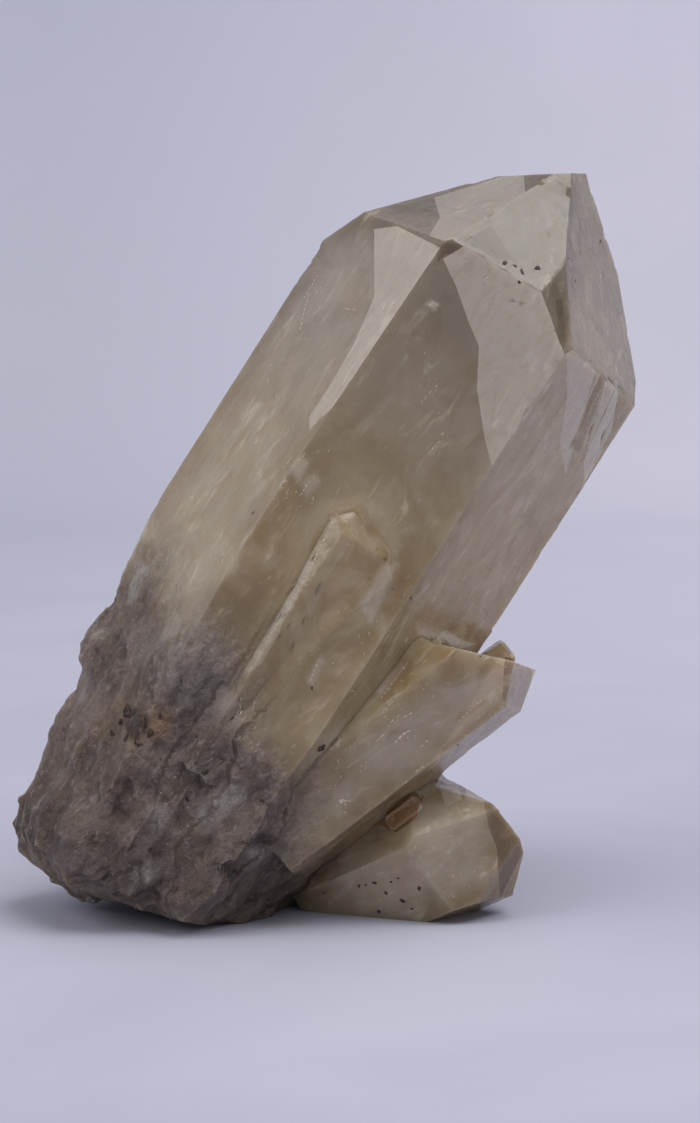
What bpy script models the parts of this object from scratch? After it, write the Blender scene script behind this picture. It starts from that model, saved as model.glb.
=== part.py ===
"""Citrine crystal point: a leaning hexagonal quartz crystal on its rough broken root.

Metres, +Z up, +X to the right and -Y towards the front.  The origin is on the resting surface,
under the middle of the specimen.  One solid: the main crystal, the crystals grown onto it and
the root are joined by Boolean unions, and the underside is cut flat where it rests.

Each crystal has a frame of its own: x across it, y away from the front and z along its length.
A point in that frame is written (across, towards the front, along), in millimetres.
"""

import math

import bmesh
import bpy
from mathutils import Matrix, Vector, noise

MM = 0.001
NAME = "citrine_crystal"

# Moves everything so that the origin is under the middle, in millimetres.
CENTRING = (-0.16, 0.85, 0.0)

# Quartz: the faces of the point make this angle with the crystal's length.
POINT_ANGLE = math.radians(38.2)

# Main crystal, millimetres.  Its six side faces are counted from the front one round to the
# right, each with its distance from the axis.  A shoulder is where a face of the point starts.
MAIN_SIDES = (16.8, 15.1, 17.2, 16.2, 16.3, 16.3)
MAIN_ORIGIN = (17.8, 1.5, 63.6)
MAIN_AXIS = (0.537, 0.075, 0.843)
MAIN_TOP = 34.0
MAIN_SHOULDERS = (2.2, -0.5, 2.0, -5.0, -3.6, 0.9)
# Further flats on the point, each through three places in the main crystal's frame: the worn
# crown, the one under the front face's right corner, and one on each front edge.
MAIN_FLATS = (
    ((-2.6, 7.3, 14.3), (-0.15, 5.85, 16.1), (-2.6, -0.7, 14.9)),
    ((2.2, 16.8, 2.5), (7.6, 16.6, -1.25), (3.3, 13.1, 6.9)),
    ((-6.9, 16.8, 0.6), (8.7, 16.8, -10.5), (8.7, 16.5, -0.8)),
    ((-15.5, 5.75, -1.0), (-9.9, 15.45, -21.0), (-8.9, 16.1, 1.2)),
)
MAIN_HEART = (0.0, 0.0, -10.0)

# The root takes over from the smooth sides at ROOT_START and ends at ROOT_END.  ROOT_TILT is how
# much higher its end stands for each millimetre across.
ROOT_START = -37.0
ROOT_SIDE_END = -67.0
ROOT_END = -73.6
ROOT_TILT = 0.16
ROOT_AROUND = 96
ROOT_ROWS = 24
# Its underside, from the side inwards: share of the radius, share of the depth.
ROOT_UNDERSIDE = ((0.97, 0.36), (0.89, 0.66), (0.74, 0.86), (0.52, 0.96), (0.24, 1.0))
# Heights of its broken surface in millimetres: (lumps, large flats, small flats, ridges, pits),
# and how far up the root each flank is broken: (right, left less than right, fade).
ROOT_RELIEF = (1.3, 1.2, 0.5, 0.5, 2.0)
ROOT_BREAK = (52.0, 14.0, 11.0)
# Its width on each flank, as a share of the smooth crystal's: (height, share).
ROOT_LEFT = (
    (-37.0, 1.0), (-43.0, 0.96), (-50.0, 0.91), (-57.0, 0.85), (-61.0, 0.86), (-64.0, 0.82),
    (-67.0, 0.81))
ROOT_RIGHT = ((-37.0, 1.0), (-50.0, 1.0), (-58.0, 0.97), (-66.0, 0.93))

# Slim crystal grown parallel to the main one, in the main crystal's frame.
PARALLEL_RADIUS = 6.6
PARALLEL_TIP = (0.1, 12.1, -26.6)
PARALLEL_LEAN = (0.01, -0.09, 1.0)
PARALLEL_ROLL = math.radians(17.0)
PARALLEL_SHOULDERS = (-1.4, -3.0, -4.0, -4.0, -3.0, -0.8)
PARALLEL_LENGTH = 30.0

# Spare length past a point before its faces are cut.
SPARE = 12.0

# Side crystal at the lower right.
SIDE_RADIUS = 7.95
SIDE_ORIGIN = (17.9, -8.5, 29.5)
SIDE_AXIS = (0.785, 0.0, 0.614)
SIDE_ROLL = math.radians(11.5)
SIDE_BOTTOM = -31.0
# Its end: a slanting face through three places, then a flat at a place, looking along a line.
SIDE_END = ((2.5, 6.5, -0.1), (5.3, 5.9, -3.2), (7.8, -1.6, -2.6))
SIDE_FLAT = ((2.7, 6.5, 0.9), (-0.62, -0.15, 0.77))
SIDE_HEART = (0.0, 0.0, -15.0)

# Small blocky crystal behind the side crystal.
BLOCK_SIZE = (2.6, 3.4, 14.0)
BLOCK_TIP = (19.8, 0.5, 27.4)
BLOCK_BEVEL = 0.35

# Stubby side crystal that touches the resting surface.
STUB_RADIUS = 8.6
STUB_TIP = (18.0, -9.0, 10.6)
STUB_AXIS = (0.72, -0.50, 0.42)
STUB_ROLL = math.radians(10.0)
STUB_LENGTH = 22.0
STUB_SHOULDERS = (-6.0, -4.0, -4.0, -9.0, -6.0, -5.0)

# Iron-stained sliver in the crevice above the stubby crystal: (thick, deep, long).
SLIVER_SIZE = (1.7, 2.2, 4.2)
SLIVER_TIP = (10.0, -11.1, 13.0)

# Chip of crystal at the upper left of the side crystal: (thick, deep, long).
CHIP_SIZE = (1.9, 3.0, 5.0)
CHIP_TIP = (12.4, -10.6, 28.9)

# Ledges broken into the right side face under the point, in the main crystal's frame: the start
# and the end of each one's foot as (across, towards, along), and how far it is cut in.
LEDGES = (
    ((12.7, 8.2, -0.4), (14.5, 5.1, -8.4), 0.45),
    ((14.3, 5.4, -0.4), (16.5, 1.6, -8.8), 0.45),
    ((16.2, 2.1, -0.6), (18.2, -1.3, -8.0), 0.4),
)
# Each ledge's width, how much of the width and of the depth it has lost at its end, how far it
# runs on past its start, and how high the piece broken out reaches.
LEDGE_WIDTH = 2.2
LEDGE_NARROWING = 0.75
LEDGE_RISE = 0.6
LEDGE_RUN_UP = 0.25
LEDGE_CLEARANCE = 3.0

# The block that cuts the underside flat.
FLOOR_SIZE = 200.0


def frame(origin, axis, roll=0.0):
    """The matrix of a crystal's frame, in millimetres."""
    along = Vector(axis).normalized()
    away = Vector((0.0, 1.0, 0.0))
    away = (away - along * along.dot(away)).normalized()
    across = away.cross(along)
    turn = Matrix((across, away, along)).transposed().to_4x4()
    return Matrix.Translation(Vector(origin)) @ turn @ Matrix.Rotation(roll, 4, "Z")


def local(across, towards, along):
    """A point of a crystal's frame."""
    return Vector((across, -towards, along))


def cut(bm, point, normal):
    """Slice off what lies beyond a plane and close the cut with one flat face."""
    geom = bm.verts[:] + bm.edges[:] + bm.faces[:]
    result = bmesh.ops.bisect_plane(
        bm, geom=geom, dist=1e-5, plane_co=point, plane_no=normal, clear_outer=True)
    rim = [item for item in result["geom_cut"] if isinstance(item, bmesh.types.BMEdge)]
    if rim:
        bmesh.ops.contextual_create(bm, geom=rim)


def cut_through(bm, first, second, third, inside):
    """Slice along the plane through three points, keeping the side that holds a fourth."""
    normal = (second - first).cross(third - first).normalized()
    if normal.dot(inside - first) > 0.0:
        normal = -normal
    cut(bm, first, normal)


def side_normal(index, roll=0.0):
    """The direction that a crystal's side face looks in, counted from the front one."""
    azimuth = index * math.pi / 3.0 + roll
    return Vector((math.sin(azimuth), -math.cos(azimuth), 0.0))


def cut_point(bm, sides, shoulders, roll=0.0):
    """Cut the six faces of a quartz point."""
    for index, (side, shoulder) in enumerate(zip(sides, shoulders)):
        outwards = side_normal(index, roll)
        normal = outwards * math.cos(POINT_ANGLE) + Vector((0.0, 0.0, math.sin(POINT_ANGLE)))
        cut(bm, outwards * side + Vector((0.0, 0.0, shoulder)), normal)


def even_sides(radius):
    """The side distances of a regular six-sided crystal."""
    return (radius * math.cos(math.pi / 6.0),) * 6


def prism(radius, bottom, top, roll=0.0):
    """A six-sided prism with a flat side to the front, before any roll."""
    bm = bmesh.new()
    turn = Matrix.Rotation(math.pi / 6.0 + roll, 4, "Z")
    place = Matrix.Translation((0.0, 0.0, (bottom + top) / 2.0)) @ turn
    bmesh.ops.create_cone(
        bm, cap_ends=True, segments=6, radius1=radius, radius2=radius,
        depth=top - bottom, matrix=place)
    return bm


def add_object(bm, name, placing, collection):
    """Turn a bmesh in millimetres into an object in metres."""
    bm.normal_update()
    bmesh.ops.recalc_face_normals(bm, faces=bm.faces[:])
    place = Matrix.Scale(MM, 4) @ Matrix.Translation(CENTRING) @ placing
    bmesh.ops.transform(bm, matrix=place, verts=bm.verts[:])
    mesh = bpy.data.meshes.new(name)
    bm.to_mesh(mesh)
    bm.free()
    thing = bpy.data.objects.new(name, mesh)
    collection.objects.link(thing)
    return thing


def along_curve(points, value):
    """Read a curve of (position, height) points, sorted from the highest position down."""
    if value >= points[0][0]:
        return points[0][1]
    for (high, first), (low, second) in zip(points, points[1:]):
        if value >= low:
            return first + (second - first) * (high - value) / (high - low)
    return points[-1][1]


def smoothstep(low, high, value):
    """0 below low, 1 above high and smooth between."""
    share = min(max((value - low) / (high - low), 0.0), 1.0)
    return share * share * (3.0 - 2.0 * share)


def broken_facet(point, size):
    """The height of a broken surface: a tilted flat for each cell of a random pattern."""
    spot = Vector((point.x / size, point.y / size, point.z / (1.9 * size)))
    centre = noise.voronoi(spot)[1][0]
    tilt = noise.noise_vector(centre * 3.7)
    return 0.9 * tilt.dot(spot - centre) + noise.noise(centre * 2.3)


def left_share(azimuth):
    """1 on the left flank and 0 on the right one."""
    return 0.5 - 0.5 * math.cos(azimuth)


def roughness(point, azimuth):
    """How far the root's broken surface stands off its smooth form, in millimetres."""
    right, left, width = ROOT_BREAK
    start = right - left * left_share(azimuth)
    fade = smoothstep(start, start + width, -point.z)
    ridges = noise.noise(Vector((point.x / 2.2, point.y / 2.2, point.z / 10.0)))
    lumps = noise.noise(Vector((point.x / 8.0 + 4.0, point.y / 8.0, point.z / 8.0)))
    pits = max(noise.noise(point / 2.6 + Vector((0.0, 3.0, 0.0))) - 0.3, 0.0)
    large = broken_facet(point, 5.5)
    small = broken_facet(point + Vector((9.0, 4.0, 2.0)), 2.4)
    parts = (lumps, large, small, ridges, -pits)
    return fade * sum(size * part for size, part in zip(ROOT_RELIEF, parts))


def wall_around(step):
    """A point of the smooth six-sided section, for one of ROOT_AROUND steps round it."""
    per_side = ROOT_AROUND // 6
    side = step // per_side
    share = (step % per_side) / per_side
    corners = []
    for index in (side, side + 1):
        first = side_normal(index - 1)
        second = side_normal(index)
        before = MAIN_SIDES[(index - 1) % 6]
        after = MAIN_SIDES[index % 6]
        size = first.x * second.y - first.y * second.x
        x = (before * second.y - after * first.y) / size
        y = (after * first.x - before * second.x) / size
        corners.append(Vector((x, y, 0.0)))
    return corners[0].lerp(corners[1], share)


def root_point(step, level):
    """A point of the main crystal's wall: level 0 is the middle of the underside."""
    section = wall_around(step)
    azimuth = math.atan2(section.y, section.x)
    radius = section.length
    if level > ROOT_ROWS + len(ROOT_UNDERSIDE):
        height = MAIN_TOP
    elif level >= len(ROOT_UNDERSIDE):
        share = (level - len(ROOT_UNDERSIDE)) / ROOT_ROWS
        height = ROOT_SIDE_END + share * (ROOT_START - ROOT_SIDE_END)
    else:
        shrink, drop = ROOT_UNDERSIDE[len(ROOT_UNDERSIDE) - 1 - level]
        height = ROOT_SIDE_END + drop * (ROOT_END - ROOT_SIDE_END + ROOT_TILT * section.x)
        radius *= shrink
    side = max(height, ROOT_SIDE_END)
    left = along_curve(ROOT_LEFT, side)
    right = along_curve(ROOT_RIGHT, side)
    radius *= right + (left - right) * left_share(azimuth)
    smooth = Vector((radius * math.cos(azimuth), radius * math.sin(azimuth), height))
    outwards = Vector((math.cos(azimuth), math.sin(azimuth), 0.0))
    return smooth + outwards * roughness(smooth, azimuth)


def main_crystal(collection):
    """The leaning crystal, with its point at the top and the rough root at the bottom."""
    bm = bmesh.new()
    bmesh.ops.create_cone(
        bm, cap_ends=True, segments=ROOT_AROUND, radius1=1.0, radius2=1.0, depth=1.0)
    rows = ROOT_ROWS + len(ROOT_UNDERSIDE) + 1
    for row in range(1, rows):
        geom = bm.verts[:] + bm.edges[:] + bm.faces[:]
        bmesh.ops.bisect_plane(
            bm, geom=geom, dist=1e-6, plane_co=(0.0, 0.0, row / rows - 0.5),
            plane_no=(0.0, 0.0, 1.0))
    for vert in bm.verts:
        level = round((vert.co.z + 0.5) * rows)
        turn = math.atan2(vert.co.y, vert.co.x) / (2.0 * math.pi)
        vert.co = root_point(round(turn * ROOT_AROUND) % ROOT_AROUND, level)
    cut_point(bm, MAIN_SIDES, MAIN_SHOULDERS)
    for flat in MAIN_FLATS:
        cut_through(bm, *(local(*place) for place in flat), Vector(MAIN_HEART))
    upper = {vert for vert in bm.verts if vert.co.z > ROOT_START - 0.5}
    edges = [edge for edge in bm.edges if upper.issuperset(edge.verts)]
    bmesh.ops.dissolve_limit(
        bm, angle_limit=math.radians(0.2), verts=list(upper), edges=edges)
    return add_object(bm, NAME, frame(MAIN_ORIGIN, MAIN_AXIS), collection)


def parallel_crystal(collection):
    """The slim crystal on the front of the main one."""
    bm = prism(PARALLEL_RADIUS, -PARALLEL_LENGTH, SPARE, PARALLEL_ROLL)
    cut_point(bm, even_sides(PARALLEL_RADIUS), PARALLEL_SHOULDERS, PARALLEL_ROLL)
    place = frame(MAIN_ORIGIN, MAIN_AXIS) @ frame(local(*PARALLEL_TIP), PARALLEL_LEAN)
    return add_object(bm, "parallel_crystal", place, collection)


def side_crystal(collection):
    """The side crystal that runs up to the right, with its slanting end."""
    bm = prism(SIDE_RADIUS, SIDE_BOTTOM, SPARE, SIDE_ROLL)
    cut_through(bm, *(local(*place) for place in SIDE_END), Vector(SIDE_HEART))
    place, looking = SIDE_FLAT
    cut(bm, local(*place), local(*looking))
    return add_object(bm, "side_crystal", frame(SIDE_ORIGIN, SIDE_AXIS), collection)


def blocky(name, size, tip, collection):
    """A small square-ended crystal that runs back from its tip along the side crystal."""
    bm = bmesh.new()
    bmesh.ops.create_cube(bm, size=1.0)
    place = Matrix.Translation((0.0, 0.0, -size[2] / 2.0)) @ Matrix.Diagonal((*size, 1.0))
    bmesh.ops.transform(bm, matrix=place, verts=bm.verts[:])
    bmesh.ops.bevel(
        bm, geom=bm.edges[:], offset=BLOCK_BEVEL, segments=1, profile=0.5, affect="EDGES")
    return add_object(bm, name, frame(tip, SIDE_AXIS), collection)


def block_crystal(collection):
    """The small block behind the side crystal."""
    return blocky("block_crystal", BLOCK_SIZE, BLOCK_TIP, collection)


def chip(collection):
    """The chip at the side crystal's upper left."""
    return blocky("chip", CHIP_SIZE, CHIP_TIP, collection)


def stub_crystal(collection):
    """The stubby side crystal that touches the resting surface."""
    bm = prism(STUB_RADIUS, -STUB_LENGTH, SPARE, STUB_ROLL)
    cut_point(bm, even_sides(STUB_RADIUS), STUB_SHOULDERS, STUB_ROLL)
    return add_object(bm, "stub_crystal", frame(STUB_TIP, STUB_AXIS), collection)


def sliver(collection):
    """The sliver in the crevice."""
    return blocky("sliver", SLIVER_SIZE, SLIVER_TIP, collection)


def ledge_cutter(index, collection):
    """A thin wedge that breaks one ledge into the right side face."""
    start, end, depth = LEDGES[index]
    foot = local(*start)
    along = local(*end) - foot
    outwards = side_normal(1)
    sideways = outwards.cross(along).normalized()
    if sideways.dot(Vector((1.0, 0.0, 0.0))) < 0.0:
        sideways = -sideways
    bm = bmesh.new()
    bmesh.ops.create_cube(bm, size=1.0)
    for vert in bm.verts:
        run, width, height = vert.co + Vector((0.5, 0.5, 0.5))
        reach = LEDGE_WIDTH * width * (1.0 - LEDGE_NARROWING * run)
        lift = LEDGE_CLEARANCE
        if height < 0.5:
            lift = -depth * (1.0 - width) * (1.0 - LEDGE_RISE * run)
        run_on = (1.0 + LEDGE_RUN_UP) * run - LEDGE_RUN_UP
        vert.co = foot + along * run_on + sideways * reach + outwards * lift
    return add_object(bm, "ledge_cutter", frame(MAIN_ORIGIN, MAIN_AXIS), collection)


def floor_block(collection):
    """What the flat underside is cut with."""
    bm = bmesh.new()
    bmesh.ops.create_cube(bm, size=FLOOR_SIZE)
    return add_object(
        bm, "floor_cutter", Matrix.Translation((0.0, 0.0, -FLOOR_SIZE / 2.0)), collection)


def citrine_material():
    """Smoky citrine, plain."""
    material = bpy.data.materials.new("smoky_citrine")
    material.use_nodes = True
    shader = material.node_tree.nodes["Principled BSDF"]
    shader.inputs["Base Color"].default_value = (0.45, 0.36, 0.24, 1.0)
    shader.inputs["Roughness"].default_value = 0.2
    shader.inputs["Metallic"].default_value = 0.0
    shader.inputs["IOR"].default_value = 1.544
    return material


def join(body, other, operation):
    """Boolean a helper into the body, and keep the helper as a wire guide."""
    modifier = body.modifiers.new(other.name, "BOOLEAN")
    modifier.object = other
    modifier.operation = operation
    modifier.solver = "EXACT"
    other.hide_render = True
    other.display_type = "WIRE"


def build():
    """Make the solid."""
    for thing in list(bpy.data.objects):
        bpy.data.objects.remove(thing, do_unlink=True)
    parts = bpy.data.collections.new(NAME)
    helpers = bpy.data.collections.new("joined_and_cut")
    for collection in (parts, helpers):
        bpy.context.scene.collection.children.link(collection)
    body = main_crystal(parts)
    body.data.materials.append(citrine_material())
    for index in range(len(LEDGES)):
        join(body, ledge_cutter(index, helpers), "DIFFERENCE")
    for make in (parallel_crystal, side_crystal, block_crystal, chip, stub_crystal, sliver):
        join(body, make(helpers), "UNION")
    join(body, floor_block(helpers), "DIFFERENCE")
    return body


build()
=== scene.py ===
import math

import bmesh
import bpy
import numpy as np
from mathutils import Matrix, Vector
from mathutils.bvhtree import BVHTree
from mathutils.kdtree import KDTree


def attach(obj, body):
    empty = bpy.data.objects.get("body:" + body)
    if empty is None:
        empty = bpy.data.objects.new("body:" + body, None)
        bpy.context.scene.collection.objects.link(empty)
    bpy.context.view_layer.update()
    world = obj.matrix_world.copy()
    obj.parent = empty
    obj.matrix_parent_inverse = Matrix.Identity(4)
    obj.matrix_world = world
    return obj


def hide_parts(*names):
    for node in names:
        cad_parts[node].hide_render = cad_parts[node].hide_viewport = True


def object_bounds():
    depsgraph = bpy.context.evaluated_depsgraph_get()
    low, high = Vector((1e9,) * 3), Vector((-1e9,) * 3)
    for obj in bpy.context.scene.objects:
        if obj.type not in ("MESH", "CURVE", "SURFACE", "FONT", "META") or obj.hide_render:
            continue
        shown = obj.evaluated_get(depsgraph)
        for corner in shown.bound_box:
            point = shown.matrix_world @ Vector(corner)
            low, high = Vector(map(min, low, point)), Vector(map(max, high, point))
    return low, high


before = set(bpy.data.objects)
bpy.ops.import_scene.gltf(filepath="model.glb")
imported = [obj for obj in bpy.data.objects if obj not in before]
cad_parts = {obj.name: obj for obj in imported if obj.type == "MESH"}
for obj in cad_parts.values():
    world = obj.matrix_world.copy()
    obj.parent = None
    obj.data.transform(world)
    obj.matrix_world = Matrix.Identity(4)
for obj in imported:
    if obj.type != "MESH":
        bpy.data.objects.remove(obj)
CAD_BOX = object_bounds()
NODE = "citrine_crystal"
MM = 0.001

# The crystals' own frames, as the model has them, in millimetres.
CENTRING = Vector((-0.16, 0.85, 0.0))
POINT_ANGLE = math.radians(38.2)
MAIN_ORIGIN, MAIN_AXIS = (17.8, 1.5, 63.6), (0.537, 0.075, 0.843)
MAIN_SIDES = (16.8, 15.1, 17.2, 16.2, 16.3, 16.3)
MAIN_SHOULDERS = (2.2, -0.5, 2.0, -5.0, -3.6, 0.9)
PARALLEL_TIP, PARALLEL_LEAN = (0.1, -12.1, -26.6), (0.01, -0.09, 1.0)
PARALLEL_SIDE, PARALLEL_ROLL = 5.72, math.radians(17.0)
PARALLEL_SHOULDERS = (-1.4, -3.0, -4.0, -4.0, -3.0, -0.8)
SIDE_ORIGIN, SIDE_AXIS = (17.9, -8.5, 29.5), (0.785, 0.0, 0.614)
SIDE_SIDE, SIDE_ROLL = 6.88, math.radians(11.5)
SIDE_ENDS = (((2.5, -6.5, -0.1), (0.737, -0.294, 0.609)), ((2.7, -6.5, 0.9), (-0.62, 0.15, 0.77)))
SIDE_SPARE = 12.0
STUB_TIP, STUB_AXIS = (18.0, -9.0, 10.6), (0.72, -0.50, 0.42)
STUB_SIDE, STUB_ROLL = 7.45, math.radians(10.0)
STUB_SHOULDERS = (-6.0, -4.0, -4.0, -9.0, -6.0, -5.0)

# Camera: where it stands in metres, how far it looks down, and its picture.
CAMERA_AT = Vector((0.00265, -0.32804, 0.07132))
CAMERA_DOWN = math.radians(6.0)
LENS, SENSOR = 100.0, 36.0
PICTURE = (700.0, 1123.0)

# How the mesh is refined: each pass splits the edges longer than this share of the limit.
SPLIT_STEPS = (32, 16, 8, 4, 2, 1.4, 1, 1)
# Marks no softer than this, in steps of the front view, are cut into the mesh before the
# pass with this limit; the faces this near an outline are cut.
CRISP, CUT_AT, CUT_MARGIN = 2, 2, 14.0
# Vertices nearer than this are one, in metres.
WELD = 2e-6
# How long the finest edges of the crystal may be, in millimetres.
FINEST = 0.75
# Angles between two faces: below the first they are joined, above the second their edge counts
# as sharp and may be nicked, and above the third it is shaded sharp.
FLAT_ANGLE, SHARP_ANGLE, SHADED_ANGLE = map(math.radians, (0.3, 16.0, 14.0))


# ---------------------------------------------------------------- frames and the front view

def crystal_frame(origin, axis):
    """The matrix of a crystal's frame: x across it, y away from the front, z along it."""
    along = Vector(axis).normalized()
    away = Vector((0.0, 1.0, 0.0))
    away = (away - along * along.dot(away)).normalized()
    turn = Matrix((away.cross(along), away, along)).transposed().to_4x4()
    return Matrix.Translation(Vector(origin)) @ turn


MAIN = Matrix.Translation(CENTRING) @ crystal_frame(MAIN_ORIGIN, MAIN_AXIS)
PARALLEL = MAIN @ crystal_frame(PARALLEL_TIP, PARALLEL_LEAN)
SIDE = Matrix.Translation(CENTRING) @ crystal_frame(SIDE_ORIGIN, SIDE_AXIS)
STUB = Matrix.Translation(CENTRING) @ crystal_frame(STUB_TIP, STUB_AXIS)


def into(matrix, points):
    """Millimetre points in a crystal's own frame."""
    inverse = np.array(matrix.inverted())
    return points @ inverse[:3, :3].T + inverse[:3, 3]


def planes(sides, shoulders, roll=0.0):
    """The face normals and distances of a six-sided crystal with its point."""
    rows = []
    for index in range(6):
        turn = index * math.pi / 3.0 + roll
        outwards = np.array((math.sin(turn), -math.cos(turn), 0.0))
        rows.append((outwards, sides[index]))
        tilted = outwards * math.cos(POINT_ANGLE) + np.array((0.0, 0.0, math.sin(POINT_ANGLE)))
        reach = sides[index] * math.cos(POINT_ANGLE) + shoulders[index] * math.sin(POINT_ANGLE)
        rows.append((tilted, reach))
    return np.array([row[0] for row in rows]), np.array([row[1] for row in rows])


def with_ends(faces, ends):
    """The faces of a crystal with its end flats, each given as a place and a direction."""
    normals = [np.array(way) / np.linalg.norm(way) for spot, way in ends]
    reach = [normal @ np.array(spot) for normal, (spot, way) in zip(normals, ends)]
    return np.vstack((faces[0], normals)), np.append(faces[1], reach)


def heights(matrix, faces, points):
    """How far each point stands off each face plane of a crystal."""
    normals, reach = faces
    return into(matrix, points) @ normals.T - reach


def front_grid(points):
    """Where millimetre points lie in the front view."""
    view = points * MM - np.array(CAMERA_AT)
    cos, sin = math.cos(CAMERA_DOWN), math.sin(CAMERA_DOWN)
    depth = view[:, 1] * cos - view[:, 2] * sin
    rise = view[:, 1] * sin + view[:, 2] * cos
    zoom = LENS / SENSOR * PICTURE[1]
    return np.stack((PICTURE[0] / 2 + view[:, 0] / depth * zoom,
                     PICTURE[1] / 2 - rise / depth * zoom), axis=1)


def sight(x, y):
    """The direction from the camera through a spot of the front view."""
    zoom = LENS / SENSOR * PICTURE[1]
    right, rise = (x - PICTURE[0] / 2) / zoom, (PICTURE[1] / 2 - y) / zoom
    cos, sin = math.cos(CAMERA_DOWN), math.sin(CAMERA_DOWN)
    return Vector((right, cos + rise * sin, rise * cos - sin)).normalized()


def ramp(low, high, value):
    """0 below the low value, 1 above the high one and smooth between."""
    share = np.clip((value - low) / (high - low), 0.0, 1.0)
    return share * share * (3.0 - 2.0 * share)


def inside(grid, outline, soft):
    """A mask that is 1 inside an outline and fades over a soft edge."""
    outline = np.array(outline, float)
    nearest = np.full(len(grid), 1e9)
    crossed = np.zeros(len(grid), bool)
    for start, end in zip(outline, np.roll(outline, -1, axis=0)):
        step = end - start
        share = np.clip((grid - start) @ step / (step @ step), 0.0, 1.0)
        nearest = np.minimum(nearest, np.linalg.norm(grid - start - share[:, None] * step, axis=1))
        spans = (start[1] > grid[:, 1]) != (end[1] > grid[:, 1])
        rise = step[1] if abs(step[1]) > 1e-9 else 1e-9
        crossed ^= spans & (grid[:, 0] < start[0] + (grid[:, 1] - start[1]) / rise * step[0])
    return ramp(-soft, soft, np.where(crossed, nearest, -nearest))


# ---------------------------------------------------------------- noise for the mesh

# How strong each layer of the layered noise is.
LAYER_SIZES = (1.0, 0.5, 0.25)
# How steep the flats of a broken surface are.
FLAT_TILT = 1.6


def hashed(cells, seed):
    """A steady random number for each whole-number cell."""
    mix = (cells[:, 0] * 73856093) ^ (cells[:, 1] * 19349663) ^ (cells[:, 2] * 83492791)
    mix = (mix ^ (seed * 2654435761)) & 0xFFFFFFFF
    mix = ((mix ^ (mix >> 15)) * 2246822519) & 0xFFFFFFFF
    mix = ((mix ^ (mix >> 13)) * 3266489917) & 0xFFFFFFFF
    return ((mix ^ (mix >> 16)) & 0xFFFFFF) / float(0xFFFFFF)


def value_noise(points, seed):
    """Smooth noise from -1 to 1."""
    base = np.floor(points).astype(np.int64)
    part = points - base
    part = part * part * (3.0 - 2.0 * part)
    total = np.zeros(len(points))
    for corner in range(8):
        offset = np.array((corner & 1, corner >> 1 & 1, corner >> 2 & 1))
        weight = np.prod(np.where(offset, part, 1.0 - part), axis=1)
        total += weight * hashed(base + offset, seed)
    return 2.0 * total - 1.0


def layered(points, seed):
    """Smooth noise in layers, each twice as fine as the one before."""
    total = np.zeros(len(points))
    for layer, size in enumerate(LAYER_SIZES):
        total += size * value_noise(points * 2.0 ** layer, seed + layer)
    return total / sum(LAYER_SIZES)


def broken(points, seed):
    """A broken surface: every cell of a random pattern is a tilted flat."""
    base = np.floor(points).astype(np.int64)
    best = np.full(len(points), 1e9)
    height = np.zeros(len(points))
    for dx in (-1, 0, 1):
        for dy in (-1, 0, 1):
            for dz in (-1, 0, 1):
                cell = base + np.array((dx, dy, dz))
                centre = cell + np.stack([hashed(cell, seed + k) for k in (1, 2, 3)], axis=1)
                tilt = np.stack([hashed(cell, seed + k) for k in (4, 5, 6)], axis=1) - 0.5
                gap = points - centre
                away = (gap * gap).sum(axis=1)
                level = (gap * tilt).sum(axis=1) * FLAT_TILT + hashed(cell, seed + 7) - 0.5
                nearer = away < best
                best = np.where(nearer, away, best)
                height = np.where(nearer, level, height)
    return height


# ---------------------------------------------------------------- the crystal's mesh

def fine_copy(source, longest):
    """A copy of the solid with its long edges split until they are about as short as asked."""
    bm = bmesh.new()
    bm.from_mesh(source)
    bmesh.ops.remove_doubles(bm, verts=bm.verts[:], dist=WELD)
    bmesh.ops.dissolve_limit(
        bm, angle_limit=FLAT_ANGLE, verts=bm.verts[:], edges=bm.edges[:])
    bmesh.ops.triangulate(bm, faces=bm.faces[:])
    for limit in SPLIT_STEPS:
        if limit == CUT_AT:
            cut_outlines(bm)
        long = [edge for edge in bm.edges if edge.calc_length() > limit * longest]
        bmesh.ops.subdivide_edges(bm, edges=long, cuts=1)
        bmesh.ops.triangulate(bm, faces=[face for face in bm.faces if len(face.verts) > 3])
    bm.normal_update()
    return bm


def cut_outlines(bm):
    """Cut the front of the mesh along the outlines of the crisp marks."""
    for soft, outline in [mark[3:] for mark in MARKS if mark[3] <= CRISP]:
        corners = np.array(outline, float)
        bm.normal_update()
        middles = np.array([face.calc_center_median()[:] for face in bm.faces])
        spots = front_grid(middles / MM)
        near = ((spots > corners.min(axis=0) - CUT_MARGIN)
                & (spots < corners.max(axis=0) + CUT_MARGIN)).all(axis=1)
        faces = [face for face, close in zip(bm.faces, near)
                 if close and face.normal.dot(CAMERA_AT - face.calc_center_median()) > 0.0]
        geometry = set(faces)
        for face in faces:
            geometry.update(face.edges)
            geometry.update(face.verts)
        geometry = list(geometry)
        for start, end in zip(outline, outline[1:] + outline[:1]):
            across = sight(*start).cross(sight(*end)).normalized()
            geometry = bmesh.ops.bisect_plane(
                bm, geom=geometry, dist=WELD, plane_co=CAMERA_AT, plane_no=across)["geom"]
        bmesh.ops.triangulate(bm, faces=[face for face in bm.faces if len(face.verts) > 3])


def edge_distance(bm, points):
    """How far each point is from the nearest sharp edge between two smooth faces."""
    sharp = set()
    for edge in bm.edges:
        if len(edge.link_faces) == 2 and edge.calc_face_angle() > SHARP_ANGLE:
            sharp.update(edge.verts)
    tree = KDTree(len(sharp))
    for index, vert in enumerate(sharp):
        tree.insert(vert.co / MM, index)
    tree.balance()
    return np.array([tree.find(Vector(point))[2] for point in points])


def vectors(items, name):
    """A vector of each vertex or face of a mesh, as rows."""
    values = np.empty(len(items) * 3)
    items.foreach_get(name, values)
    return values.reshape(-1, 3)


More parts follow.
